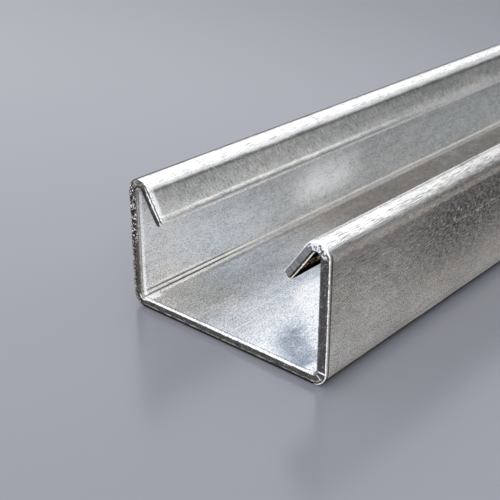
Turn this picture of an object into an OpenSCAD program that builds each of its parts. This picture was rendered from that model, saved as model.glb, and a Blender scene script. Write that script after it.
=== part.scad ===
// Plain strut channel: one strip of galvanised sheet, roll formed into a U
// whose two walls fold back inwards at the top into sloping lips.
// The web's underside is at z = 0, the channel runs along Y, and the slot
// between the lips opens upwards.

/* [Stock] */
// Length of the bar, cut square at both ends
channel_length = 1000; // [200:50:3000]
// Thickness of the zinc-coated sheet
sheet_thickness = 1.9; // [1.2:0.1:2]

/* [Section] */
// Overall width across the two walls
channel_width = 41.3; // [38:0.1:60]
// Overall height, from the web's underside to the top of the bends
channel_height = 23.5; // [20:0.1:60]
// Outer radius of the two bends between the web and the walls
base_bend_radius = 2.5; // [2.2:0.1:4]
// Outer radius of the two bends between the walls and the lips
top_bend_radius = 2.5; // [2.2:0.1:4]

/* [Lips] */
// Straight length of each lip, beyond its bend
lip_length = 6.5; // [4:0.1:8]
// Radius on the two corners of the slit edge, at each lip's tip
slit_edge_radius = 0.25; // [0.1:0.05:0.5]

/* [Hidden] */
$fn = 96;

half_width = channel_width / 2;
// Each lip leans in by 3 for every 4 that it drops, 36.87 degrees from its wall
lip_angle = atan2(3, 4);
// The sheet turns through this much at the top bend
lip_turn = 180 - lip_angle;
zinc_grey = [0.68, 0.69, 0.70];

// Part of a ring of sheet, between two angles about its centre
module bend(outer_radius, from_angle, to_angle) {
    steps = 8;
    reach = 2 * outer_radius;
    intersection() {
        difference() {
            circle(r = outer_radius);
            circle(r = outer_radius - sheet_thickness);
        }
        polygon(concat([[0, 0]], [
            for (i = [0:steps])
                let (angle = from_angle + (to_angle - from_angle) * i / steps)
                    reach * [cos(angle), sin(angle)]
        ]));
    }
}

// Flat web between the two base bends
module web_section() {
    web_width = channel_width - 2 * base_bend_radius;
    translate([-web_width / 2, 0])
        square([web_width, sheet_thickness]);
}

// Wall on the +X side, between its two bends
module wall_section() {
    wall_height = channel_height - base_bend_radius - top_bend_radius;
    translate([half_width - sheet_thickness, base_bend_radius])
        square([sheet_thickness, wall_height]);
}

// Straight lip that runs along +Y from the X axis, with its outer face at x = 0
module lip_section() {
    translate([-sheet_thickness, 0]) {
        square([sheet_thickness, lip_length - slit_edge_radius]);
        translate([slit_edge_radius, 0])
            square([sheet_thickness - 2 * slit_edge_radius, lip_length]);
        for (x = [slit_edge_radius, sheet_thickness - slit_edge_radius])
            translate([x, lip_length - slit_edge_radius])
                circle(r = slit_edge_radius);
    }
}

// Base bend, wall, top bend and lip of the +X side
module side_section() {
    translate([half_width - base_bend_radius, base_bend_radius])
        bend(base_bend_radius, -90, 0);
    wall_section();
    translate([half_width - top_bend_radius, channel_height - top_bend_radius]) {
        bend(top_bend_radius, 0, lip_turn);
        rotate(lip_turn)
            translate([top_bend_radius, 0])
                lip_section();
    }
}

// Whole section, seen from the -Y end
module channel_section() {
    web_section();
    side_section();
    mirror([1, 0])
        side_section();
}

// The rolled strip, with its mid-length at y = 0
module channel() {
    color(zinc_grey)
        rotate([90, 0, 0])
            linear_extrude(height = channel_length, center = true)
                channel_section();
}

channel();
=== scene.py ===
import math
import bpy
import numpy as np
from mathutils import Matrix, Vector


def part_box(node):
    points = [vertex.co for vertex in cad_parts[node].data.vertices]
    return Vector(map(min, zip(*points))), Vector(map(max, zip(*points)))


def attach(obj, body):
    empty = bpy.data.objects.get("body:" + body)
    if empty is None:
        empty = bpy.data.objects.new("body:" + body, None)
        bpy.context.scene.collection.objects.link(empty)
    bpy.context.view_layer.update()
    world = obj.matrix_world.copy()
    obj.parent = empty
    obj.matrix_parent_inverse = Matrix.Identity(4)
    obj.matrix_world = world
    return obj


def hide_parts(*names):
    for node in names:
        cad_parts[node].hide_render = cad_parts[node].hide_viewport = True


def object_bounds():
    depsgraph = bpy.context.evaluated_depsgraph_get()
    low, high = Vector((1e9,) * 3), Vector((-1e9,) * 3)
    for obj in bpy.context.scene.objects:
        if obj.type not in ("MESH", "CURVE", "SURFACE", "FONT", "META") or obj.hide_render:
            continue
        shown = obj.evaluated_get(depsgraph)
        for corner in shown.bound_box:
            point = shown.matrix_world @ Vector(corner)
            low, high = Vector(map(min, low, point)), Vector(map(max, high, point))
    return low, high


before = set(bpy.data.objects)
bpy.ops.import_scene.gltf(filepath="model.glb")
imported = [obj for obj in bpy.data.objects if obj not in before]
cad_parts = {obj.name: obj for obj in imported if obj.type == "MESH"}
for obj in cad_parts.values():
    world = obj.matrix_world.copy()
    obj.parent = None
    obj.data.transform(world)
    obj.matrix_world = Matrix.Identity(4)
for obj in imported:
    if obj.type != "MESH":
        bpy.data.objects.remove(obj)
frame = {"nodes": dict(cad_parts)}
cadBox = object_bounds()
mm = 0.001
print("frame loaded:", ", ".join(frame["nodes"]))


# One strip of sheet, worked out flat and then bent. Its two coordinates are the distance across
# the strip from the web's middle, plus to the right, and the depth below the channel's outer face.
channel = {
    "sheet": 1.9 * mm,
    "baseBend": 2.5 * mm,       # outer radius, web to wall
    "topBend": 2.5 * mm,        # outer radius, wall to lip
    "lipAngle": {"left": 31.5, "right": 36.3},             # degrees between lip and wall
    "lipLength": {"left": 6.25 * mm, "right": 6.85 * mm},  # straight part
    "lipBow": 0.05 * mm,        # how hollow the lips' upper faces are
    "slitEdge": 0.42 * mm,      # radius on the corners of a lip's tip
    "cutOuter": 0.16 * mm,      # rounding of the cut's edge with the outer face
    "cutInner": 0.36 * mm,      # the same with the inner face, where the burr is rubbed down
    "tipZone": 3.0 * mm,        # stretch of lip that closes in on the cut's mid-line
    "fineZone": 3.2 * mm,       # stretch behind a cut that has the fine mesh
    "dip": 0.03 * mm,           # how far the faces are dragged down at a cut
    "dipReach": 0.75 * mm,
    "ripple": 0.02 * mm,        # waviness left by the rolls, and the waves that it varies by
    "rippleWaves": {"seed": 3, "count": 14, "spans": (9 * mm, 40 * mm), "drawnOut": 1.5, "vary": 0.45},
    "leastSink": 0.006 * mm,    # keeps the dressed strip inside the section
    "ragged": 0.05 * mm,        # roughness of the cut itself
    "raggedWaves": {"seed": 8, "count": 50, "spans": (0.35 * mm, 1.6 * mm), "flatter": 1.5},
    "ringsBehindCut": (2.3, 1.7, 1.25, 0.9, 0.68, 0.52),    # mm, rings of the fine mesh
    "ringsOnCut": 6,            # from the cut's rounded edge up to its mid-line
    "midGap": 0.05 * mm,        # from the last of them to the mid-line
    "afterFine": 1.5 * mm,      # from the fine mesh to the first coarse ring
    "closeRings": {"upTo": 250 * mm, "count": 100},         # over the stretch next to the front cut
    "restRings": 91,
    "steps": {"web": 20, "base": 10, "wall": 12, "top": 18, "lip": 9},      # edges of the outline
}


def linear(hexColour):
    # sRGB hex to linear RGBA: v/12.92 below 0.04045, else ((v + 0.055) / 1.055) to the power 2.4
    values = [int(hexColour[i:i + 2], 16) / 255 for i in (1, 3, 5)]
    return [v / 12.92 if v <= 0.04045 else ((v + 0.055) / 1.055) ** 2.4 for v in values] + [1.0]


def stripRuns(part, box, side):
    # Lengths and radii met on the way from the web's middle out to a lip's tip, along the outer face
    low, high = box
    halfWidth = (high[0] - low[0]) / 2
    height = high[2] - low[2]
    turn = math.radians(180 - part["lipAngle"][side])
    return [
        (halfWidth - part["baseBend"], 0.0, "web"),
        (part["baseBend"] * math.pi / 2, part["baseBend"], "base"),
        (height - part["baseBend"] - part["topBend"], 0.0, "wall"),
        (part["topBend"] * turn, part["topBend"], "top"),
        (part["lipLength"][side], 0.0, "lip"),
    ]


def runsTotal(runs):
    # The outer face's length from the web's middle to a lip's tip
    return sum(length for length, _, _ in runs)


def bendSide(part, runs, across, depth):
    # Walks the outer face from the middle of the web: a straight run moves along the heading,
    # a bend turns it by distance over radius. Then it steps inwards by depth. The lip bows in by
    # a half sine. Returns x, z and the outward direction, all for the right-hand side.
    left = np.array(across)
    x = np.zeros_like(left)
    z = np.zeros_like(left)
    heading = np.zeros_like(left)
    bow = np.zeros_like(left)
    for length, radius, name in runs:
        step = np.clip(left, 0, None) if name == "lip" else np.clip(left, 0, length)
        left = left - step
        if radius:
            turned = heading + step / radius
            x = x + radius * (np.sin(turned) - np.sin(heading))
            z = z - radius * (np.cos(turned) - np.cos(heading))
            heading = turned
        else:
            x = x + step * np.cos(heading)
            z = z + step * np.sin(heading)
        if name == "lip":
            bow = part["lipBow"] * np.sin(math.pi * np.clip(step / length, 0, 1))
    outX, outZ = np.sin(heading), -np.cos(heading)
    return x - (depth + bow) * outX, z - (depth + bow) * outZ, outX, outZ


def bendStrip(part, runs, across, depth):
    # Each half of the strip is bent by its own side's runs; the left one is mirrored in x
    rx, rz, rox, roz = bendSide(part, runs["right"], np.clip(across, 0, None), depth)
    lx, lz, lox, loz = bendSide(part, runs["left"], np.clip(-across, 0, None), depth)
    isLeft = across < 0
    return (np.where(isLeft, -lx, rx), np.where(isLeft, lz, rz),
            np.where(isLeft, -lox, rox), np.where(isLeft, loz, roz))


def waves(values, *coords):
    # A sum of sine waves of random direction, length and phase, scaled to unit variance
    draw = np.random.default_rng(values["seed"])
    shortest, longest = values["spans"]
    total = 0.0
    for _ in range(values["count"]):
        length = shortest * (longest / shortest) ** draw.random()
        way = draw.normal(size=len(coords))
        way = way / np.linalg.norm(way)
        phase = draw.random() * 2 * math.pi
        total = total + np.sin(2 * math.pi * sum(w * c for w, c in zip(way, coords)) / length + phase)
    return total / math.sqrt(values["count"] / 2)


def halfFace(part, runs):
    # Places of the outer face's points from the web's middle to where the tip's rounding starts
    marks = [0.0]
    for length, _, name in runs:
        count = part["steps"][name]
        count = count // 2 if name == "web" else count
        end = length - part["slitEdge"] if name == "lip" else length
        marks += list(marks[-1] + end * np.arange(1, count + 1) / count)
    return np.array(marks)


def sectionLoop(part, runs):
    # The closed outline of the flat strip: outer face, right tip, inner face, left tip. Each
    # point is a core point plus the corner radius along an outward direction.
    right, left = halfFace(part, runs["right"]), halfFace(part, runs["left"])
    face = np.concatenate([-left[:0:-1], right])
    radius, sheet = part["slitEdge"], part["sheet"]
    tipTurn = np.radians([-60, -30, 0, 0, 0, 30, 60])
    tipDepth = np.array([radius] * 3 + [sheet / 2] + [sheet - radius] * 3)
    across = np.concatenate([face, np.full(tipTurn.size, right[-1]),
                             face[::-1], np.full(tipTurn.size, -left[-1])])
    depth = np.concatenate([np.full(face.size, radius), tipDepth,
                            np.full(face.size, sheet - radius), tipDepth[::-1]])
    tipOut = np.stack([np.cos(tipTurn), np.sin(tipTurn)], 1)
    outward = np.concatenate([
        np.tile([0.0, -1.0], (face.size, 1)), tipOut,
        np.tile([0.0, 1.0], (face.size, 1)), tipOut[::-1] * [-1, 1]])
    return across, depth, outward, face.size


def thicken(values, times):
    # Puts times - 1 evenly spaced values between each value and the next, round the loop
    share = (np.arange(times) / times).reshape((1, times) + (1,) * (values.ndim - 1))
    after = np.roll(values, -1, 0)
    fine = values[:, None] * (1 - share) + after[:, None] * share
    return fine.reshape((-1,) + values.shape[1:])


def drawIn(part, runs, loop, outer, inner):
    # Draws the outline in, by one distance from the outer face and another from the inner one:
    # its corners tighten, and only the last stretch of each lip shortens, by the mean of the two.
    # Also returns each point's share of the way from the outer face to the inner one.
    across, depth, outward, _ = loop
    sheet, radius = part["sheet"], part["slitEdge"]
    mean = (outer + inner) / 2
    tight = radius * (1 - 2 * mean / sheet)
    total = np.where(across < 0, runsTotal(runs["left"]), runsTotal(runs["right"]))
    steady = total - part["tipZone"]
    pull = (total - mean - tight - steady) / (total - radius - steady)
    beyond = np.clip(np.abs(across) - steady, 0, None)
    newAcross = np.sign(across) * (np.minimum(np.abs(across), steady) + beyond * pull)
    share = (depth - radius) / (sheet - 2 * radius)
    newDepth = outer + tight + share * (sheet - outer - inner - 2 * tight)
    return newAcross + tight * outward[:, 0], newDepth + tight * outward[:, 1], share


def channelMesh(part, box):
    # Carries the outline along the bar as rings. They are coarse over its length and three times
    # finer near a cut, where they draw in round the cut's edges and go on over the cut to its
    # mid-line. Ring joins to ring by quads. Returns the points, the faces, which quads are on a
    # cut, and the small ends of the two cuts.
    finer = 3
    runs = {side: stripRuns(part, box, side) for side in ("left", "right")}
    coarse = sectionLoop(part, runs)
    fine = tuple(thicken(values, finer) for values in coarse[:3]) + (coarse[3],)
    low, high = box
    length = high[1] - low[1]

    # rings of one end, each with its distance from the cut and its inset, both for the outer
    # face and for the inner one: the fine stretch, the rounding, and the cut up to its mid-line
    behind = np.array(part["ringsBehindCut"]) * mm
    turn = np.radians([0, 15, 30, 45, 60, 75, 90])
    radii = np.array([part["cutOuter"], part["cutInner"]])
    halfCut = (part["sheet"] - radii.sum()) / 2 - part["midGap"]
    capInset = radii + halfCut * np.linspace(0, 1, part["ringsOnCut"] + 1)[1:, None]
    gaps = np.concatenate([[[part["fineZone"]] * 2], np.stack([behind, behind], 1),
                           radii * (1 - np.sin(turn))[:, None], 0 * capInset])
    insets = np.concatenate([np.zeros((1 + behind.size, 2)),
                             radii * (1 - np.cos(turn))[:, None], capInset])

    closeEnd = part["closeRings"]["upTo"]
    front = np.linspace(part["fineZone"] + part["afterFine"], closeEnd, part["closeRings"]["count"])
    rest = np.linspace(closeEnd, length - part["fineZone"] - part["afterFine"], part["restRings"] + 1)
    bodyY = np.concatenate([front, rest[1:]])

    rolled, sawn = part["rippleWaves"], part["raggedWaves"]
    rings = []      # x, y, z, across, depth, fromCut for each ring, front to back

    def ring(loop, end, inwards, gap, inset):
        # The outline drawn in, set behind the cut by its gap, sunk a little into the sheet and bent
        across, depth, share = drawIn(part, runs, loop, *inset)
        behindCut = gap[0] + (gap[1] - gap[0]) * np.clip(share, 0, 1)
        y = end + inwards * behindCut
        onCap = inset[0] > part["cutOuter"]
        # the faces dip towards the cut, and never stand proud of the section
        sink = part["dip"] * np.exp(-(behindCut / part["dipReach"]) ** 2) * (not onCap)
        swell = waves(rolled, across, y / rolled["drawnOut"])
        sink = sink + part["ripple"] * (1 + rolled["vary"] * swell)
        sink = np.maximum(sink, part["leastSink"])
        faceSide = np.clip((part["sheet"] / 2 - depth) / (part["sheet"] / 2), -1, 1)
        x, z, outX, outZ = bendStrip(part, runs, across, depth)
        x = x - sink * faceSide * outX
        z = z - sink * faceSide * outZ
        if inset[1] > 0:
            rough = waves(sawn, across, depth * sawn["flatter"])
            rough = part["ragged"] * np.clip(1 + rough, 0, 3) * min(1.0, inset[1] / radii[1])
            y = y + rough * inwards
        rings.append(np.stack([x, y, z, across, depth, behindCut], 1))

    for gap, inset in reversed(list(zip(gaps, insets))):
        ring(fine, low[1], 1, gap, inset)
    for y in bodyY:
        end, inwards, gap = (low[1], 1, y) if y < length / 2 else (high[1], -1, length - y)
        ring(coarse, end, inwards, [gap] * 2, [0.0] * 2)
    for gap, inset in zip(gaps, insets):
        ring(fine, high[1], -1, gap, inset)

    starts = np.concatenate([[0], np.cumsum([len(r) for r in rings])])
    data = np.concatenate(rings)
    endRings, bodyRings = len(gaps), len(bodyY)

    def band(a, b, count):
        # Quads between two rings of the same count
        i = np.arange(count)
        j = (i + 1) % count
        return np.stack([starts[a] + i, starts[b] + i, starts[b] + j, starts[a] + j], 1)

    def join(coarseRing, fineRing, count, flip):
        # A quad and two triangles between each coarse edge and the three fine ones that face it
        i = np.arange(count)
        j = (i + 1) % count
        c0, c1 = starts[coarseRing] + i, starts[coarseRing] + j
        f0, f1, f2 = (starts[fineRing] + finer * i + k for k in range(finer))
        f3 = starts[fineRing] + finer * j
        square = np.stack([c0, f1, f2, c1], 1)
        three = np.concatenate([np.stack([c0, f0, f1], 1), np.stack([c1, f2, f3], 1)])
        return (square[:, ::-1], three[:, ::-1]) if flip else (square, three)

    n = len(coarse[0])
    capRings = len(capInset)
    backStart = endRings + bodyRings
    bands = [(r, finer * n, r < capRings) for r in range(endRings - 1)]
    bands += [(endRings + r, n, False) for r in range(bodyRings - 1)]
    bands += [(backStart + r, finer * n, r >= endRings - 1 - capRings) for r in range(endRings - 1)]
    quads = [band(r, r + 1, count) for r, count, _ in bands]
    onCap = [np.full(count, cap) for _, count, cap in bands]
    square1, three1 = join(endRings, endRings - 1, n, True)
    square2, three2 = join(backStart - 1, backStart, n, False)
    quads = np.concatenate(quads + [square1, square2])
    onCap = np.concatenate(onCap + [np.full(2 * n, False)])
    triangles = np.concatenate([three1, three2])

    # the ladder of quads across the mid-line of each cut, and the ladder's two small ends
    faceCount = finer * (coarse[3] - 1) + 1
    tipEdges = finer * (n // 2 - coarse[3] + 1)
    tips = []
    for ringIndex, flip in ((0, False), (backStart + endRings - 1, True)):
        s = starts[ringIndex]
        k = np.arange(faceCount - 1)
        inner = faceCount - 1 + tipEdges + faceCount - 1
        ladder = np.stack([s + k, s + k + 1, s + inner - k - 1, s + inner - k], 1)
        quads = np.concatenate([quads, ladder[:, ::-1] if flip else ladder])
        onCap = np.concatenate([onCap, np.full(len(ladder), True)])
        rightTip = s + np.arange(faceCount - 1, faceCount - 1 + tipEdges + 1)
        leftTip = s + np.concatenate([np.arange(inner, finer * n), [0]])
        tips += [rightTip[::-1], leftTip[::-1]] if flip else [rightTip, leftTip]
    return data, quads, triangles, tips, onCap


def buildChannel(part, box):
    # Puts the rings into a mesh, with the strip's own coordinates in mm as attributes
    data, quads, triangles, tips, onCap = channelMesh(part, box)
    faces = [list(map(int, t)) for t in tips]
    mesh = bpy.data.meshes.new("channel_sheet")
    mesh.from_pydata(data[:, :3].tolist(), [], quads.tolist() + triangles.tolist() + faces)
    for name, column in (("across", 3), ("depth", 4), ("fromCut", 5)):
        layer = mesh.attributes.new(name, "FLOAT", "POINT")
        layer.data.foreach_set("value", (data[:, column] / mm).astype(np.float32))
    slots = np.concatenate([onCap, np.full(len(triangles), False), np.full(len(faces), True)])
    mesh.polygons.foreach_set("material_index", slots.astype(np.int32))
    mesh.update()
    mesh.shade_smooth()
    piece = bpy.data.objects.new("channel_sheet", mesh)
    bpy.context.collection.objects.link(piece)
    return piece


sheetPiece = buildChannel(channel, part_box("channel"))
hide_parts("channel")
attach(sheetPiece, "root")
print("channel mesh:", len(sheetPiece.data.polygons), "faces")


def addNode(tree, kind, inputs=None, stops=None, **settings):
    # Adds a node with its settings; an input is either a socket to link or a value, and stops are
    # a ramp's (place, colour) pairs
    node = tree.nodes.new(kind)
    for name, value in settings.items():
        setattr(node, name, value)
    for name, value in (inputs or {}).items():
        if isinstance(value, bpy.types.NodeSocket):
            tree.links.new(value, node.inputs[name])
        else:
            node.inputs[name].default_value = value
    if stops:
        ramp = node.color_ramp
        while len(ramp.elements) < len(stops):
            ramp.elements.new(1.0)
        for element, (place, colour) in zip(ramp.elements, stops):
            element.position, element.color = place, colour
    return node


def newMaterial(name):
    # A material with an empty tree of nodes
    material = bpy.data.materials.new(name)
    material.use_nodes = True
    material.node_tree.nodes.clear()
    return material, material.node_tree


def sumOf(tree, start, terms):
    # start plus each value times its weight
    total = start
    for value, weight in terms:
        total = addNode(tree, "ShaderNodeMath", {0: value, 1: weight, 2: total},
                        operation="MULTIPLY_ADD").outputs[0]
    return total


def weighted(patterns, weights):
    # Pairs each pattern that the weights name with its weight
    return [(patterns[name], weight) for name, weight in weights.items()]


def product(tree, first, *others):
    # The first value times each of the others
    for other in others:
        first = addNode(tree, "ShaderNodeMath", {0: first, 1: other}, operation="MULTIPLY").outputs[0]
    return first


def stepMask(tree, value, low, high):
    # 0 below low and 1 above high, or the other way round if low is the greater
    flip = low > high
    mask = addNode(tree, "ShaderNodeMapRange", {
        "Value": value, "From Min": min(low, high), "From Max": max(low, high),
        "To Min": 1.0 if flip else 0.0, "To Max": 0.0 if flip else 1.0}, interpolation_type="SMOOTHSTEP")
    return mask.outputs["Result"]


def crossFade(tree, mask, under, over):
    # A look is a few colours. Gives the look under where the mask is 0 and the look over where it is 1
    return [addNode(tree, "ShaderNodeMix", {0: mask, 6: below, 7: above}, data_type="RGBA").outputs[2]
            for below, above in zip(under, over)]


def sheetPlace(tree):
    # The strip's own coordinates in mm: across, along (the object's y), depth and distance from the cut
    coords = addNode(tree, "ShaderNodeTexCoord")
    axes = addNode(tree, "ShaderNodeSeparateXYZ", {"Vector": coords.outputs["Object"]})
    place = {"along": sumOf(tree, 0.0, [(axes.outputs["Y"], 1 / mm)])}
    for name in ("across", "depth", "fromCut"):
        place[name] = addNode(tree, "ShaderNodeAttribute", attribute_name=name).outputs["Fac"]
    flat = addNode(tree, "ShaderNodeCombineXYZ", {
        "X": place["across"], "Y": place["along"], "Z": place["depth"]})
    place["flat"] = flat.outputs["Vector"]
    return place


def noisePattern(tree, vector, values):
    # Noise with cells of some mm across, along and through the strip, turned by some degrees,
    # and stretched in contrast round its middle so that it runs from -1 to 1
    laid = addNode(tree, "ShaderNodeMapping", {
        "Vector": vector, "Rotation": (0.0, 0.0, math.radians(values.get("turn", 0)))})
    cells = addNode(tree, "ShaderNodeVectorMath", {
        0: laid.outputs["Vector"], 1: tuple(1 / size for size in values["cell"])}, operation="MULTIPLY")
    noise = addNode(tree, "ShaderNodeTexNoise", {
        "Vector": cells.outputs["Vector"], "Scale": 1.0, "Detail": values.get("octaves", 2.0),
        "Roughness": 0.55})
    width = values["width"]
    level = addNode(tree, "ShaderNodeMapRange", {
        "Value": noise.outputs["Fac"], "From Min": 0.5 - width, "From Max": 0.5 + width,
        "To Min": -1.0, "To Max": 1.0})
    return level.outputs["Result"]


def finishRamp(tree, across, span, stops):
    # Tone, roughness and metal across one side of the strip, from stops of (place in mm, the three)
    ramp = addNode(tree, "ShaderNodeValToRGB", {"Fac": product(tree, across, 1 / span)},
                   [(at / span, (tone, rough, metal, 1.0)) for at, tone, rough, metal in stops])
    return ramp.outputs["Color"]


def markMask(tree, place, patterns, mark):
    # A mark lies within a window of each coordinate that it names, (from, to, soft edge) in mm,
    # and where the patterns that it names rise from one level to another
    mask = mark["strength"]
    for name in ("across", "half", "slant", "along", "depth", "fromCut"):
        if name in mark:
            low, high, soft = mark[name]
            mask = product(tree, stepMask(tree, place[name], low - soft, low + soft), mask)
            mask = product(tree, stepMask(tree, place[name], high + soft, high - soft), mask)
    for name, (low, high) in mark.get("where", {}).items():
        mask = product(tree, stepMask(tree, patterns[name], low, high), mask)
    return mask


def laidOver(tree, look, mask, mark):
    # A mark's colour, roughness and metal over the look so far
    return crossFade(tree, mask, look, (linear(mark["colour"]), (0.0, mark["rough"], mark["metal"], 1.0)))


# windows for marks: from, to and soft edge in mm
outerFace = (-1.0, 0.95, 0.15)      # depth
innerFace = (0.95, 9.0, 0.15)
onwards = 9999                      # the end of a window that doesn't end
frontHalf = (-onwards, 0, 1)        # along, for a mark that only the front end has
# the web in front of this window is left without dust, so it is painted paler there as a reflection
behindPaintedSheen = (cadBox[0][1] / mm + 42, onwards, 12)     # along, from 42 mm behind the front cut
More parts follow.
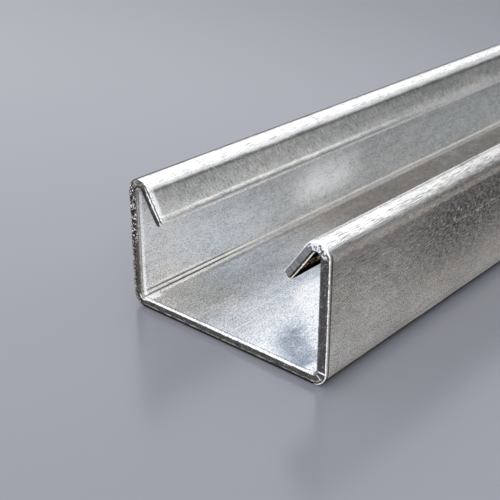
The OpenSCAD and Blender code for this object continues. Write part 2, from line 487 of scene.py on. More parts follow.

# Hot-dip zinc on rolled strip: a pale metal, a little warm outside and cooler inside, with a fine
# matt grain that the rolls drew out into lines and burnished bright on the bends. Grain is drawn
# about four times its real size, because the real one is too fine to show.
# Besides wear, dust and grain, many of the marks paint highlights, glints, reflections and shade, as noted at
# each
zinc = {
    "colour": {"wall": "#ebe3d8", "lips": "#f0efed", "insideLeft": "#e9e7e5", "insideRight": "#e1e5ec"},
    "warm": "#ebe2d6",
    "patterns": {
        "grain": {"cell": (0.17, 0.24, 0.5), "turn": 22, "width": 0.20},
        "stroke": {"cell": (0.20, 1.1, 0.5), "turn": 6, "width": 0.16},
        "dash": {"cell": (0.13, 3.2, 0.5), "turn": 1, "width": 0.16},
        "streak": {"cell": (0.40, 26.0, 0.8), "octaves": 3.0, "width": 0.17},
        "cross": {"cell": (1.3, 0.22, 0.5), "turn": 14, "width": 0.18},
        "mottle": {"cell": (1.5, 2.6, 0.8), "turn": 9, "width": 0.20},
        "patch": {"cell": (6.0, 9.0, 0.8), "turn": -14, "width": 0.20},
    },
    "tone": {"stroke": 0.13, "streak": 0.07, "mottle": 0.10, "patch": 0.06},
    "grainTone": {"dull": 0.66, "polished": 0.16, "lessInside": 0.14},
    "height": {"grain": 0.009, "stroke": 0.008, "streak": 0.002},      # mm
    "heightShare": {"polished": 0.15, "dull": 1.0},
    "roughness": {"grain": 0.04, "patch": 0.05},
    "warmShare": {"outside": 0.4, "lessInside": 0.2},
    "wander": {"stroke": 0.05, "patch": 0.08},          # mm by which patterns shift the marks' edges
    "slant": {"fromCut": 1.4, "patch": 1.2},            # what each mm from the cut and the patches add
    # where one finish gives way to the next, from and to
    "inner": (0.7, 1.2),            # depth in mm
    "right": (-1.5, 1.5),           # across in mm, as the next three
    "bend": (41.0, 42.4),
    "rightInside": (-9.0, -2.0),
    "finerInside": (21.5, 23.5),
    "warmPatch": (0.1, 1.0),        # level of the patch pattern
    "dull": (1.02, 0.88),           # metal of the finishes below, which tells dull from polished
    "reach": 54.0,                  # mm from the web's middle, a little more than the strip reaches
    # finish from the web's middle to a lip's tip: place in mm, tone, roughness, metal. Some tones paint light
    # and shade, as noted at each side
    # tones: black painted contact shadow on the base bend (18 to 21), a black painted shade band on the top
    # bend (42.4 to 44), and the lip painted lighter towards its tip
    "outerLeft": [
        (0, 0.70, 0.50, 0.85), (18, 0.03, 0.80, 0.0), (21.0, 0.03, 0.80, 0.0), (21.5, 0.60, 0.42, 0.9),
        (22.5, 0.92, 0.46, 0.9), (34, 0.84, 0.46, 0.9), (40, 0.74, 0.44, 0.9), (41.5, 0.95, 0.30, 1.0),
        (42.1, 0.60, 0.30, 1.0), (42.4, 0.02, 1.00, 0.0), (44.0, 0.02, 1.00, 0.0), (44.35, 0.75, 0.27, 1.0),
        (44.7, 1.00, 0.25, 1.0), (46.6, 1.00, 0.27, 1.0), (47.15, 1.00, 0.30, 1.0),
        (47.65, 0.57, 0.38, 0.95), (48.6, 0.67, 0.40, 0.95), (50.5, 0.74, 0.40, 0.95),
        (51.6, 0.86, 0.42, 0.95), (53.6, 1.00, 0.42, 0.9)],
    # tones: black painted contact shadow on the base bend (18 to 20.9), and painted shade that darkens the
    # wall towards its top
    "outerRight": [
        (0, 0.70, 0.50, 0.85), (18, 0.02, 1.0, 0.0), (20.9, 0.02, 1.0, 0.0), (21.35, 0.90, 0.42, 0.9),
        (22.3, 1.00, 0.44, 0.9), (22.9, 1.14, 0.46, 0.88), (28, 1.08, 0.46, 0.9), (34, 0.86, 0.45, 0.9),
        (39.5, 0.62, 0.42, 0.9), (40.4, 0.70, 0.38, 0.95), (40.8, 0.92, 0.38, 0.95), (41.3, 1.00, 0.36, 0.95),
        (41.8, 0.95, 0.34, 1.0), (42.2, 0.90, 0.32, 1.0), (42.6, 0.97, 0.30, 1.0), (43.4, 1.00, 0.27, 1.0),
        (45.3, 1.00, 0.25, 1.0), (45.9, 1.00, 0.28, 1.0), (46.4, 1.00, 0.28, 1.0), (47.1, 1.00, 0.26, 1.0),
        (47.6, 1.00, 0.34, 0.9), (53.6, 1.00, 0.42, 0.9)],
    # tones: painted light high on the wall (29 to 38), and painted shade under the lip (from 41)
    "innerLeft": [
        (0, 1.05, 0.38, 0.9), (8, 1.01, 0.40, 0.9), (17, 0.92, 0.42, 0.85), (18.2, 1.00, 0.38, 0.9),
        (22.0, 1.00, 0.38, 0.9), (23, 1.00, 0.42, 0.80), (29, 1.06, 0.42, 0.80), (35, 1.20, 0.42, 0.78),
        (38, 1.15, 0.42, 0.80), (41, 0.85, 0.45, 0.9), (46, 0.55, 0.5, 0.9), (53.6, 0.60, 0.5, 0.9)],
    # tones: painted shade from the wall's top into the pocket under the right lip (from 36)
    "innerRight": [
        (0, 1.05, 0.38, 0.9), (4, 1.05, 0.36, 0.9), (17, 0.98, 0.36, 0.9), (18.2, 1.00, 0.38, 0.9),
        (22.0, 1.00, 0.38, 0.9), (23, 0.98, 0.42, 0.85), (36, 0.90, 0.42, 0.85), (40, 0.50, 0.45, 0.9),
        (45, 0.30, 0.5, 0.9), (53.6, 0.35, 0.5, 0.9)],
    "marks": {
        # inside of the walls
        # painted shade: the inside of the walls greyer and darker far from the cut
        "paintedShadeInside": {
            "half": (22.3, 41, 1), "depth": innerFace, "fromCut": (75, onwards, 55),
            "strength": 0.45, "colour": "#a9b0b1", "rough": 0.44, "metal": 0.9},
        "coolWall": {
            "across": (-41, -22.4, 0.8), "depth": innerFace, "fromCut": (13, onwards, 9),
            "strength": 0.55, "colour": "#e2edf1", "rough": 0.42, "metal": 0.8},
        # painted highlight: a soft white glow on the inner left wall, 43 to 61 mm from the cut
        "paintedWallGlow": {
            "across": (-33.5, -24.5, 3), "depth": innerFace, "fromCut": (43, 61, 6),
            "where": {"mottle": (-2.6, -0.6)},
            "strength": 1.0, "colour": "#ffffff", "rough": 0.36, "metal": 0.0},
        # web
        "coolWeb": {
            "across": (-17.3, 0, 1), "depth": innerFace, "fromCut": (13, 32, 5),
            "strength": 0.5, "colour": "#dde7f4", "rough": 0.40, "metal": 0.88},
        # painted shade (the darker slanted patch) and a painted highlight (the white patch) on the web beside
        # the right wall, at the front end only
        "webShade": {
            "across": (6.5, 19, 2.5), "slant": (13.5, 22, 3.5), "along": frontHalf, "depth": innerFace,
            "where": {"mottle": (-1.8, 0.4)},
            "strength": 0.9, "colour": "#87909e", "rough": 0.38, "metal": 0.95},
        "paintedWebHighlight": {
            "across": (-0.5, 30, 1), "slant": (25.5, 62, 4), "along": frontHalf, "fromCut": (-1, 26, 4),
            "depth": innerFace,
            "strength": 1.0, "colour": "#ffffff", "rough": 0.30, "metal": 0.3},
        # brown dust on the web, left off the first 42 mm behind the front cut: a painted reflection there
        "webDustAndPaintedSheen": {
            "half": (-1, 17.4, 0.4), "depth": innerFace, "along": behindPaintedSheen,
            "where": {"patch": (-2.2, 0.4)},
            "strength": 0.65, "colour": "#938475", "rough": 0.45, "metal": 0.9},
        "nearDust": {
            "across": (-17.5, -5, 3), "depth": innerFace, "fromCut": (2, 15, 5),
            "where": {"patch": (-1.4, 0.5)},
            "strength": 0.45, "colour": "#a3a09b", "rough": 0.45, "metal": 0.9},
        "webLines": {
            "across": (-9, 4, 2), "depth": innerFace, "where": {"streak": (0.45, 0.8)},
            "strength": 0.45, "colour": "#f8faff", "rough": 0.38, "metal": 0.8},
        # crease between web and wall: painted highlights (the white lines) and painted shade (the dark lines)
        # along the bend, and a warmer, darker tint far from the cut
        "creaseEdge": {
            "half": (22.45, 22.75, 0.10), "depth": innerFace, "fromCut": (-1, 20, 9),
            "strength": 0.8, "colour": "#fdfcfa", "rough": 0.42, "metal": 0.1},
        "creaseTop": {
            "half": (21.68, 22.22, 0.12), "depth": innerFace, "fromCut": (-1, 26, 10),
            "strength": 0.9, "colour": "#4f4b47", "rough": 0.5, "metal": 0.8},
        "creaseHighlight": {
            "half": (20.25, 21.4, 0.20), "depth": innerFace, "fromCut": (-1, 32, 12),
            "where": {"mottle": (-1.3, -0.3)},
            "strength": 1.0, "colour": "#fff8ec", "rough": 0.42, "metal": 0.0},
        "creaseFar": {
            "half": (20.2, 21.9, 0.3), "depth": innerFace, "fromCut": (34, onwards, 12),
            "strength": 0.8, "colour": "#fffaf3", "rough": 0.42, "metal": 0.0},
        "creaseDark": {
            "half": (18.5, 19.6, 0.25), "depth": innerFace, "fromCut": (-1, 27, 10),
            "strength": 0.92, "colour": "#3f3a36", "rough": 0.45, "metal": 0.9},
        "creaseWarm": {
            "half": (18.0, 20.8, 0.3), "depth": innerFace, "fromCut": (34, onwards, 12),
            "strength": 0.35, "colour": "#b3a796", "rough": 0.42, "metal": 0.9},
        "webEdgeHighlight": {
            "half": (17.45, 18.1, 0.15), "depth": innerFace, "fromCut": (-1, 24, 10),
            "strength": 0.95, "colour": "#fff6ea", "rough": 0.4, "metal": 0.0},
        "webCornerHighlight": {
            "half": (16.4, 18.0, 0.4), "depth": innerFace, "fromCut": (0.5, 3.0, 0.7),
            "strength": 0.9, "colour": "#ffffff", "rough": 0.4, "metal": 0.0},
        "webFoot": {
            "half": (16.5, 17.3, 0.3), "depth": innerFace, "fromCut": (12, 42, 8),
            "strength": 0.4, "colour": "#6b655e", "rough": 0.42, "metal": 0.9},
        # outside of the walls and bends
        # brown tarnish, and painted shade: the outer wall darker towards its top and away from the cut
        "tarnishAndPaintedShade": {
            "half": (30.5, 42.2, 7.0), "across": (0, 99, 1), "depth": outerFace,
            "fromCut": (24, onwards, 13),
            "strength": 0.82, "colour": "#5f564c", "rough": 0.42, "metal": 0.95},
        "wallShade": {
            "half": (22.5, 30, 2.5), "depth": outerFace, "fromCut": (26, onwards, 12),
            "strength": 0.2, "colour": "#5f564d", "rough": 0.44, "metal": 0.9},
        "drawnLight": {
            "half": (32, 41.0, 3.5), "depth": outerFace, "fromCut": (-1, 38, 14),
            "where": {"dash": (0.3, 0.9)},
            "strength": 0.60, "colour": "#e9e3da", "rough": 0.36, "metal": 0.8},
        "drawnDark": {
            "half": (31, 41.0, 3.5), "depth": outerFace, "fromCut": (-1, 38, 14),
            "where": {"dash": (-0.3, -0.9)},
            "strength": 0.60, "colour": "#4b453f", "rough": 0.42, "metal": 0.9},
        "pebbleLight": {
            "half": (29, 40.8, 4), "depth": outerFace, "fromCut": (24, onwards, 14),
            "where": {"stroke": (-0.1, 0.4), "cross": (-0.3, 0.2)},
            "strength": 0.80, "colour": "#e4ded5", "rough": 0.4, "metal": 0.9},
        "pebbleDark": {
            "half": (29, 40.8, 4), "depth": outerFace, "fromCut": (24, onwards, 14),
            "where": {"stroke": (0.1, -0.4), "cross": (0.3, -0.2)},
            "strength": 0.75, "colour": "#3d3732", "rough": 0.44, "metal": 0.9},
        "wallScratch": {
            "across": (35.2, 35.4, 0.12), "depth": outerFace, "fromCut": (30, 62, 8),
            "where": {"mottle": (-1.2, 0.4)},
            "strength": 0.55, "colour": "#efe9e0", "rough": 0.4, "metal": 0.6},
        "wallDrag": {
            "across": (27.4, 27.7, 0.15), "depth": outerFace, "fromCut": (8, 44, 8),
            "where": {"mottle": (-0.2, 0.8)},
            "strength": 0.22, "colour": "#5a544d", "rough": 0.45, "metal": 0.9},
        "dashDark": {
            "across": (42.1, 43.8, 0.35), "depth": outerFace, "where": {"dash": (0.1, 0.6)},
            "strength": 0.8, "colour": "#736d67", "rough": 0.34, "metal": 1.0},
        "dashLight": {
            "across": (40.9, 42.8, 0.4), "depth": outerFace, "where": {"dash": (-0.3, -0.9)},
            "strength": 0.4, "colour": "#ffffff", "rough": 0.35, "metal": 0.4},
        "rollLines": {
            "half": (43.0, 46.9, 0.6), "depth": outerFace, "where": {"dash": (0.3, 0.9)},
            "strength": 0.75, "colour": "#85807b", "rough": 0.34, "metal": 0.95},
        "foldLine": {
            "across": (40.3, 41.2, 0.2), "depth": outerFace, "where": {"stroke": (-1.8, 0.2)},
            "strength": 0.75, "colour": "#e6d9c7", "rough": 0.42, "metal": 0.85},
        # painted highlights: diffuse white laid over parts of the top bends
        "bendHazeHighlight": {
            "across": (42.0, 42.8, 0.3), "depth": outerFace,
            "strength": 0.20, "colour": "#ffffff", "rough": 0.3, "metal": 0.0},
        "bendSoftHighlight": {
            "across": (45.3, 47.6, 0.4), "depth": outerFace,
            "strength": 0.60, "colour": "#ffffff", "rough": 0.3, "metal": 0.0},
        "bendCrestHighlight": {
            "across": (47.0, 48.0, 0.3), "depth": outerFace,
            "strength": 0.80, "colour": "#ffffff", "rough": 0.3, "metal": 0.0},
        "bendEndHighlight": {
            "across": (-47.3, -46.6, 0.2), "depth": outerFace,
            "strength": 0.50, "colour": "#ffffff", "rough": 0.3, "metal": 0.0},
        # lips
        "dullLip": {
            "half": (47.2, 50.8, 1.2), "depth": outerFace, "fromCut": (52, onwards, 40),
            "strength": 0.42, "colour": "#8f9090", "rough": 0.44, "metal": 0.9},
        # painted shade: dark streaks on the lip just below the bend's highlight
        "lipStart": {
            "half": (47.5, 47.95, 0.15), "depth": outerFace, "where": {"streak": (-1.4, 0.2)},
            "strength": 0.5, "colour": "#55524f", "rough": 0.38, "metal": 0.95},
        "crossLight": {
            "half": (47.4, 51.8, 0.5), "depth": outerFace, "where": {"cross": (0.35, 1.0)},
            "strength": 0.75, "colour": "#f4f2ee", "rough": 0.4, "metal": 0.8},
        "crossDark": {
            "half": (47.4, 51.8, 0.5), "depth": outerFace, "where": {"cross": (-0.35, -1.0)},
            "strength": 0.60, "colour": "#5c5a58", "rough": 0.4, "metal": 0.95},
        # painted highlight lines near and along the lip's tip, with a painted shade line between them
        "lipLine": {
            "half": (51.85, 52.25, 0.14), "depth": outerFace, "fromCut": (-1, 60, 20),
            "where": {"patch": (-1.2, 0.2)},
            "strength": 0.75, "colour": "#f8f3ea", "rough": 0.45, "metal": 0.2},
        "tipShade": {
            "half": (52.55, 52.85, 0.08), "depth": outerFace, "fromCut": (-1, 75, 25),
            "strength": 0.5, "colour": "#5c5752", "rough": 0.4, "metal": 0.9},
        "tipLine": {
            "half": (53.1, 53.6, 0.08), "depth": outerFace,
            "strength": 0.85, "colour": "#fbf9f5", "rough": 0.4, "metal": 0.3},
        "flecks": {
            "half": (19, 60, 0.4), "where": {"grain": (0.8, 1.0), "mottle": (-0.2, 0.6)},
            "strength": 0.7, "colour": "#f8f6f2", "rough": 0.4, "metal": 0.5},
        # painted shade: near black in the pocket under the right lip, with a painted glint along the lip's
        # underside
        "pocketShade": {
            "across": (43.0, 60, 1.5), "depth": innerFace,
            "strength": 1.0, "colour": "#0d0a08", "rough": 1.0, "metal": 0.0},
        "pocketGlint": {
            "across": (48.6, 50.6, 0.5), "depth": innerFace, "where": {"stroke": (0.3, 0.8)},
            "strength": 0.90, "colour": "#d9b793", "rough": 0.3, "metal": 0.7},
        # along the cuts
        # painted shade: a dark band in the dip just behind the cut on the outside
        "grooveShadeAtCut": {
            "across": (18.6, 41.8, 0.6), "fromCut": (0.42, 0.80, 0.10), "depth": outerFace,
            "where": {"streak": (-1.6, -0.4)},
            "strength": 0.9, "colour": "#2f2b28", "rough": 0.7, "metal": 0.3},
        # painted highlights: white lines along the cut's rounded rim on the outside
        "rimAtCut": {
            "across": (18.4, 46, 0.4), "fromCut": (-1, 0.18, 0.06), "depth": outerFace,
            "where": {"grain": (-1.8, -0.8)},
            "strength": 0.95, "colour": "#faf6f0", "rough": 0.5, "metal": 0.0},
        "rimOnLip": {
            "across": (-53.6, -46.8, 0.4), "fromCut": (-1, 0.9, 0.4), "depth": outerFace,
            "where": {"mottle": (-1.2, 0.6)},
            "strength": 0.75, "colour": "#fcf8f4", "rough": 0.45, "metal": 0.1},
        # painted contact shadow: black along the web's lower rim at the cut
        "bottomEdgeShadow": {
            "half": (-1, 18.2, 0.4), "fromCut": (-1, 0.5, 0.1), "depth": outerFace,
            "strength": 0.95, "colour": "#0d0c0b", "rough": 0.95, "metal": 0.0},
        "ragAtCut": {
            "across": (-43.5, -18.6, 0.5), "fromCut": (-1, 0.34, 0.08), "depth": outerFace,
            "where": {"mottle": (0.3, -0.2)},
            "strength": 0.9, "colour": "#1d1b19", "rough": 0.8, "metal": 0.2},
        "shoulderInside": {
            "half": (19.4, 42, 0.4), "fromCut": (0.14, 0.52, 0.05), "depth": innerFace,
            "strength": 0.8, "colour": "#a39b95", "rough": 0.5, "metal": 0.5},
        "shoulderDark": {
            "half": (19.4, 42, 0.4), "fromCut": (-1, 0.14, 0.05), "depth": innerFace,
            "strength": 0.8, "colour": "#37332f", "rough": 0.6, "metal": 0.3},
        # painted highlights: white lines on the inner faces next to the cut, where the burr is
        "burrHighlightInside": {
            "half": (19.4, 40.5, 0.4), "fromCut": (0.56, 1.15, 0.05), "depth": innerFace,
            "strength": 1.0, "colour": "#ffffff", "rough": 0.5, "metal": 0.0},
        "burrHighlightOnWeb": {
            "half": (-1, 18.3, 0.4), "fromCut": (-1, 0.20, 0.05), "depth": innerFace,
            "strength": 0.95, "colour": "#ffffff", "rough": 0.45, "metal": 0.0},
        # painted shade: a darker band just behind the web's inner rim at the cut
        "webGrooveShade": {
            "half": (-1, 17.0, 0.8), "fromCut": (0.34, 0.60, 0.08), "depth": innerFace,
            "strength": 0.55, "colour": "#8a817a", "rough": 0.45, "metal": 0.8},
        # painted shade: dark along the underside of the left lip at the cut
        "lipUnderEdgeShade": {
            "across": (-60, -45.5, 0.6), "fromCut": (-1, 0.40, 0.08), "depth": innerFace,
            "strength": 0.95, "colour": "#2c2927", "rough": 0.7, "metal": 0.3},
        # painted highlight: a pale line along the right lip's underside at the cut
        "lipUnderLine": {
            "across": (45.5, 60, 0.6), "fromCut": (0.03, 0.16, 0.03), "depth": innerFace,
            "strength": 0.95, "colour": "#fff1e0", "rough": 0.5, "metal": 0.0},
    },
}


def galvanisedSteel(values):
    # The finish across the strip, then each mark over it in turn, then the tone of the patterns
    # over all of them. The bump is the patterns' heights alone.
    material, tree = newMaterial("pre_galvanised_steel")
    place = sheetPlace(tree)
    patterns = {name: noisePattern(tree, place["flat"], cell) for name, cell in values["patterns"].items()}
    place["across"] = sumOf(tree, place["across"], weighted(patterns, values["wander"]))
    place["half"] = addNode(tree, "ShaderNodeMath", {0: place["across"]}, operation="ABSOLUTE").outputs[0]
    # grows along a line that crosses the web at a slant, for what lies that way
    place["slant"] = sumOf(tree, place["across"], [
        (place["fromCut"], values["slant"]["fromCut"]), (patterns["patch"], values["slant"]["patch"])])
    isInner = stepMask(tree, place["depth"], *values["inner"])
    isRight = stepMask(tree, place["across"], *values["right"])
    isBend = stepMask(tree, place["half"], *values["bend"])

    ramps = {face: finishRamp(tree, place["half"], values["reach"], values[face])
             for face in ("outerLeft", "outerRight", "innerLeft", "innerRight")}
    colours = {face: linear(colour) for face, colour in values["colour"].items()}
    finishes = crossFade(tree, isRight, (ramps["outerLeft"], ramps["innerLeft"]),
                         (ramps["outerRight"], ramps["innerRight"]))
    outerColour = crossFade(tree, isBend, [colours["wall"]], [colours["lips"]])
    innerColour = crossFade(tree, stepMask(tree, place["across"], *values["rightInside"]),
                            [colours["insideLeft"]], [colours["insideRight"]])
    colour, finish = crossFade(tree, isInner, outerColour + finishes[:1], innerColour + finishes[1:])
    base = addNode(tree, "ShaderNodeSeparateColor", {"Color": finish})

    warm = values["warmShare"]
    warmth = product(tree, stepMask(tree, patterns["patch"], *values["warmPatch"]),
                     sumOf(tree, warm["outside"], [(isInner, -warm["lessInside"])]))
    warmed = crossFade(tree, warmth, [colour], [linear(values["warm"])])
    toned = addNode(tree, "ShaderNodeVectorMath", {0: warmed[0], "Scale": base.outputs["Red"]},
                    operation="SCALE")
    look = toned.outputs["Vector"], finish
    for mark in values["marks"].values():
        look = laidOver(tree, look, markMask(tree, place, patterns, mark), mark)

    # the rolls pressed the grain flat where they burnished the bends, and it is finer inside
    share = values["grainTone"]
    dull = stepMask(tree, base.outputs["Blue"], *values["dull"])
    inside = product(tree, isInner, stepMask(tree, place["half"], *values["finerInside"]))
    grainShare = sumOf(tree, share["polished"], [
        (dull, share["dull"] - share["polished"]), (inside, -share["lessInside"])])
    shade = sumOf(tree, 1.0, weighted(patterns, values["tone"]))
    shade = addNode(tree, "ShaderNodeMath", {0: patterns["grain"], 1: grainShare, 2: shade},
                    operation="MULTIPLY_ADD").outputs[0]
    shaded = addNode(tree, "ShaderNodeVectorMath", {0: look[0], "Scale": shade}, operation="SCALE")
    colour = addNode(tree, "ShaderNodeVectorMath", {0: shaded.outputs["Vector"], 1: (1.0, 1.0, 1.0)},
                     operation="MINIMUM").outputs["Vector"]
    parts = addNode(tree, "ShaderNodeSeparateColor", {"Color": look[1]})
    rough = sumOf(tree, parts.outputs["Green"], weighted(patterns, values["roughness"]))
    height = sumOf(tree, 0.0, weighted(patterns, values["height"]))
    proud = values["heightShare"]
    height = product(tree, height, sumOf(tree, proud["polished"], [
        (dull, proud["dull"] - proud["polished"])]))
    bump = addNode(tree, "ShaderNodeBump", {"Height": height, "Strength": 1.0, "Distance": mm})
    shader = addNode(tree, "ShaderNodeBsdfPrincipled", {
        "Base Color": colour, "Metallic": parts.outputs["Blue"], "Roughness": rough,
        "Specular IOR Level": 0.0, "Normal": bump.outputs["Normal"]})
    addNode(tree, "ShaderNodeOutputMaterial", {"Surface": shader.outputs["BSDF"]})
    return material


# Bare steel where the bar was sawn off: dark grey with faint lines across the sheet, bright specks
# of smeared zinc, and a ragged outer edge on the side that the blade left last.
# Some marks paint a highlight and a contact shadow along the edges, as noted at each
sawnEdge = {
    "colour": "#6a6867",
    "rough": 0.5,
    "metal": 0.9,
    "patterns": {
        "cloud": {"cell": (1.3, 5.0, 1.0), "width": 0.2},
        "saw": {"cell": (0.30, 5.0, 3.0), "width": 0.2},
        "speck": {"cell": (0.30, 5.0, 0.26), "width": 0.18},
        "shard": {"cell": (0.30, 5.0, 0.26), "turn": 20, "width": 0.12},
        "smear": {"cell": (1.0, 5.0, 0.62), "width": 0.16},
        "drag": {"cell": (1.5, 5.0, 0.30), "width": 0.2},
    },
    "tone": {"cloud": 0.26, "saw": 0.24, "speck": 0.20},
    "height": {"saw": 0.006, "speck": 0.010, "smear": 0.008},
    "marks": {
        "specks": {
            "where": {"speck": (0.6, 0.9), "cloud": (-0.4, 0.4)},
            "strength": 0.8, "colour": "#e6e2dc", "rough": 0.4, "metal": 0.2},
        # left wall and lip, where the edge is torn
        "ragDark": {
            "across": (-44.5, -19, 1.2), "depth": (-1, 0.95, 0.18), "where": {"smear": (0.5, -0.2)},
            "strength": 0.95, "colour": "#0e0d0c", "rough": 0.8, "metal": 0.2},
        "ragLight": {
            "across": (-44.5, -19, 1.2), "depth": (-1, 0.48, 0.12), "where": {"speck": (-0.1, 0.5)},
            "strength": 0.95, "colour": "#dccdbd", "rough": 0.5, "metal": 0.0},
        "ragSpecks": {
            "across": (-44.5, -19, 1.2), "depth": (-1, 1.05, 0.18), "where": {"shard": (0.9, 1.2)},
            "strength": 0.9, "colour": "#f3ebe1", "rough": 0.5, "metal": 0.0},
        "shardDark": {
            "across": (-44.0, -31, 1.5), "where": {"shard": (0.1, -0.2)},
            "strength": 0.95, "colour": "#0b0a09", "rough": 0.8, "metal": 0.2},
        "shardLight": {
            "across": (-44.0, -31, 1.5), "where": {"shard": (0.55, 0.9)},
            "strength": 0.95, "colour": "#fffaf2", "rough": 0.5, "metal": 0.0},
        "bendDrag": {
            "across": (-48.5, -42.5, 0.8), "depth": (-1, 1.3, 0.2), "where": {"smear": (-0.2, 0.4)},
            "strength": 0.7, "colour": "#b5afa8", "rough": 0.4, "metal": 0.4},
        "bendCore": {
            "across": (-48, -40.5, 0.8), "depth": (1.1, 9, 0.12),
            "strength": 0.85, "colour": "#2a2725", "rough": 0.6, "metal": 0.4},
        "lipCore": {
            "across": (-60, -46.5, 0.8), "depth": (0.90, 9, 0.12), "where": {"drag": (0.9, -0.2)},
            "strength": 0.8, "colour": "#262423", "rough": 0.6, "metal": 0.4},
        "lipRub": {
            "across": (-60, -47.0, 0.8), "depth": (0.46, 0.80, 0.06), "where": {"smear": (-1.6, -0.4)},
            "strength": 0.95, "colour": "#ffffff", "rough": 0.45, "metal": 0.0},
        "lipEdge": {
            "across": (-60, -46.0, 0.6), "depth": (-1, 0.40, 0.05), "where": {"speck": (1.1, 0.4)},
            "strength": 0.9, "colour": "#4c423b", "rough": 0.6, "metal": 0.4},
        "cornerRub": {
            "across": (-21.4, -18.0, 0.5), "depth": (1.25, 9, 0.12),
            "strength": 0.95, "colour": "#ffffff", "rough": 0.4, "metal": 0.0},
        # right bend, lip and foot
        "bendSmear": {
            "across": (41.0, 46.8, 0.6), "depth": (-1, 1.6, 0.2), "where": {"smear": (-0.5, 0.15)},
            "strength": 0.95, "colour": "#f6f7f8", "rough": 0.4, "metal": 0.0},
        "bendTear": {
            "across": (41.0, 46.8, 0.6), "where": {"smear": (-0.6, -1.1)},
            "strength": 0.9, "colour": "#232224", "rough": 0.6, "metal": 0.3},
        "footBrown": {
            "across": (16.5, 22.2, 0.8),
            "strength": 0.5, "colour": "#5f564f", "rough": 0.5, "metal": 0.6},
        "footCrack": {
            "across": (21.95, 22.2, 0.09),
            "strength": 1.0, "colour": "#ffffff", "rough": 0.4, "metal": 0.0},
        "footCrackLow": {
            "across": (20.3, 20.6, 0.10), "depth": (0.5, 9, 0.15),
            "strength": 1.0, "colour": "#ffffff", "rough": 0.4, "metal": 0.0},
        "lipFace": {
            "across": (46.6, 60, 0.6), "depth": (0.30, 1.32, 0.05),
            "strength": 0.85, "colour": "#b4b4b6", "rough": 0.45, "metal": 0.75},
        "lipSaw": {
            "across": (46.6, 60, 0.6), "depth": (0.30, 1.32, 0.05), "where": {"saw": (0.3, -0.5)},
            "strength": 0.5, "colour": "#565557", "rough": 0.5, "metal": 0.9},
        # painted highlight: a white line along the right lip's outer edge on the cut
        "lipRimOut": {
            "across": (46.0, 60, 0.4), "depth": (-1, 0.26, 0.04),
            "strength": 0.97, "colour": "#ffffff", "rough": 0.4, "metal": 0.0},
        "lipRimIn": {
            "across": (45.5, 60, 0.4), "depth": (1.34, 9, 0.04),
            "strength": 0.95, "colour": "#0f0d0c", "rough": 0.7, "metal": 0.0},
        # lower edge of the web
        "lowerRim": {
            "across": (-18, 20.5, 0.8), "depth": (0.50, 0.66, 0.05), "where": {"drag": (-0.5, 0.3)},
            "strength": 0.8, "colour": "#cfc5b8", "rough": 0.5, "metal": 0.0},
        # painted contact shadow: black along the lowest part of the web's cut
        "lowerEdgeShadow": {
            "across": (-19, 19, 0.8), "depth": (-1, 0.48, 0.04),
            "strength": 0.97, "colour": "#0b0a0a", "rough": 0.9, "metal": 0.0},
    },
}


def sawnSteel(values):
    # One grey, shaded by the patterns, and each mark over it in turn
    material, tree = newMaterial("sawn_steel_edge")
    place = sheetPlace(tree)
    patterns = {name: noisePattern(tree, place["flat"], cell) for name, cell in values["patterns"].items()}
    shade = sumOf(tree, 1.0, weighted(patterns, values["tone"]))
    grey = addNode(tree, "ShaderNodeVectorMath", {0: linear(values["colour"])[:3], "Scale": shade},
                   operation="SCALE").outputs["Vector"]
    look = grey, (0.0, values["rough"], values["metal"], 1.0)
    for mark in values["marks"].values():
        look = laidOver(tree, look, markMask(tree, place, patterns, mark), mark)
    parts = addNode(tree, "ShaderNodeSeparateColor", {"Color": look[1]})
    height = sumOf(tree, 0.0, weighted(patterns, values["height"]))
    bump = addNode(tree, "ShaderNodeBump", {"Height": height, "Strength": 1.0, "Distance": mm})
    shader = addNode(tree, "ShaderNodeBsdfPrincipled", {
        "Base Color": look[0], "Metallic": parts.outputs["Blue"], "Roughness": parts.outputs["Green"],
        "Normal": bump.outputs["Normal"]})
    addNode(tree, "ShaderNodeOutputMaterial", {"Surface": shader.outputs["BSDF"]})
    return material


sheetPiece.data.materials.append(galvanisedSteel(zinc))
sheetPiece.data.materials.append(sawnSteel(sawnEdge))
print("zinc and sawn edge on")

floorBoard = {"halfSize": 15.0, "colour": "#7f8188", "rough": 0.22, "ior": 1.45}


def makeFloor(values):
    # One level square at zero height
    size = values["halfSize"]
    mesh = bpy.data.meshes.new("floor")
    corners = [(-size, -size, 0), (size, -size, 0), (size, size, 0), (-size, size, 0)]
    mesh.from_pydata(corners, [], [(0, 1, 2, 3)])
    floor = bpy.data.objects.new("floor", mesh)
    bpy.context.collection.objects.link(floor)
    material, tree = newMaterial("floor_board")
    shader = addNode(tree, "ShaderNodeBsdfPrincipled", {
        "Base Color": linear(values["colour"]), "Roughness": values["rough"], "IOR": values["ior"]})
    addNode(tree, "ShaderNodeOutputMaterial", {"Surface": shader.outputs["BSDF"]})
    mesh.materials.append(material)
    return floor


floor = makeFloor(floorBoard)

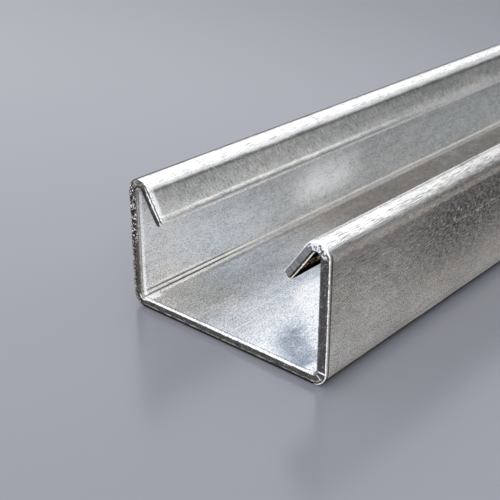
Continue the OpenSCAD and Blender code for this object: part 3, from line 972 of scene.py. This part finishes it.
studio = {
    "tint": (0.98, 1.0, 1.03, 1.0),
    "ground": 0.13,     # radiance below the dome
    "dome": {"towards": (-0.234, 0.0, 0.972), "from": 0.30, "to": 0.42, "radiance": 1.10},
    "softbox": {"towards": (-0.30, 0.35, 0.89), "from": 0.70, "to": 0.92, "radiance": 0.30},
    "front": {"towards": (0.55, -0.77, 0.33), "from": 0.78, "to": 0.94, "radiance": 2.8},
}


def studioWorld(values):
    # Each light fades in with the cosine between the view and the way it lies, from one value to
    # another, and they add up
    world = bpy.data.worlds.new("studio")
    bpy.context.scene.world = world
    world.use_nodes = True
    tree = world.node_tree
    tree.nodes.clear()
    coords = addNode(tree, "ShaderNodeTexCoord")
    terms = []
    for name in ("dome", "softbox", "front"):
        light = values[name]
        way = Vector(light["towards"]).normalized()
        cosine = addNode(tree, "ShaderNodeVectorMath", {0: coords.outputs["Generated"], 1: way},
                         operation="DOT_PRODUCT").outputs["Value"]
        terms.append((stepMask(tree, cosine, light["from"], light["to"]), light["radiance"]))
    background = addNode(tree, "ShaderNodeBackground", {
        "Color": values["tint"], "Strength": sumOf(tree, values["ground"], terms)})
    addNode(tree, "ShaderNodeOutputWorld", {"Surface": background.outputs["Background"]})


studioWorld(studio)
print("floor and studio light set")

cameraSettings = {
    "fromFront": (92.2 * mm, -98.8 * mm, 80.8 * mm),    # from the middle of the front cut's lower edge
    "yaw": 41.16,       # degrees to the left of the bar's length
    "pitch": 25.44,     # degrees below level
    "lens": 70.1,       # mm, as the sensor
    "sensor": 36.0,
    "clip": (0.005, 60.0),
}


def makeCamera(values, box):
    # Stands at its place from the front cut's lower edge, turned by yaw and tipped down by pitch
    low = box[0]
    data = bpy.data.cameras.new("camera")
    data.lens = values["lens"]
    data.sensor_width = values["sensor"]
    data.clip_start, data.clip_end = values["clip"]
    camera = bpy.data.objects.new("camera", data)
    x, y, z = values["fromFront"]
    camera.location = (x, low[1] + y, z)
    camera.rotation_euler = (math.radians(90 - values["pitch"]), 0.0, math.radians(values["yaw"]))
    bpy.context.collection.objects.link(camera)
    bpy.context.scene.camera = camera


makeCamera(cameraSettings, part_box("channel"))
bpy.context.scene.view_settings.view_transform = "Standard"
print("camera set")
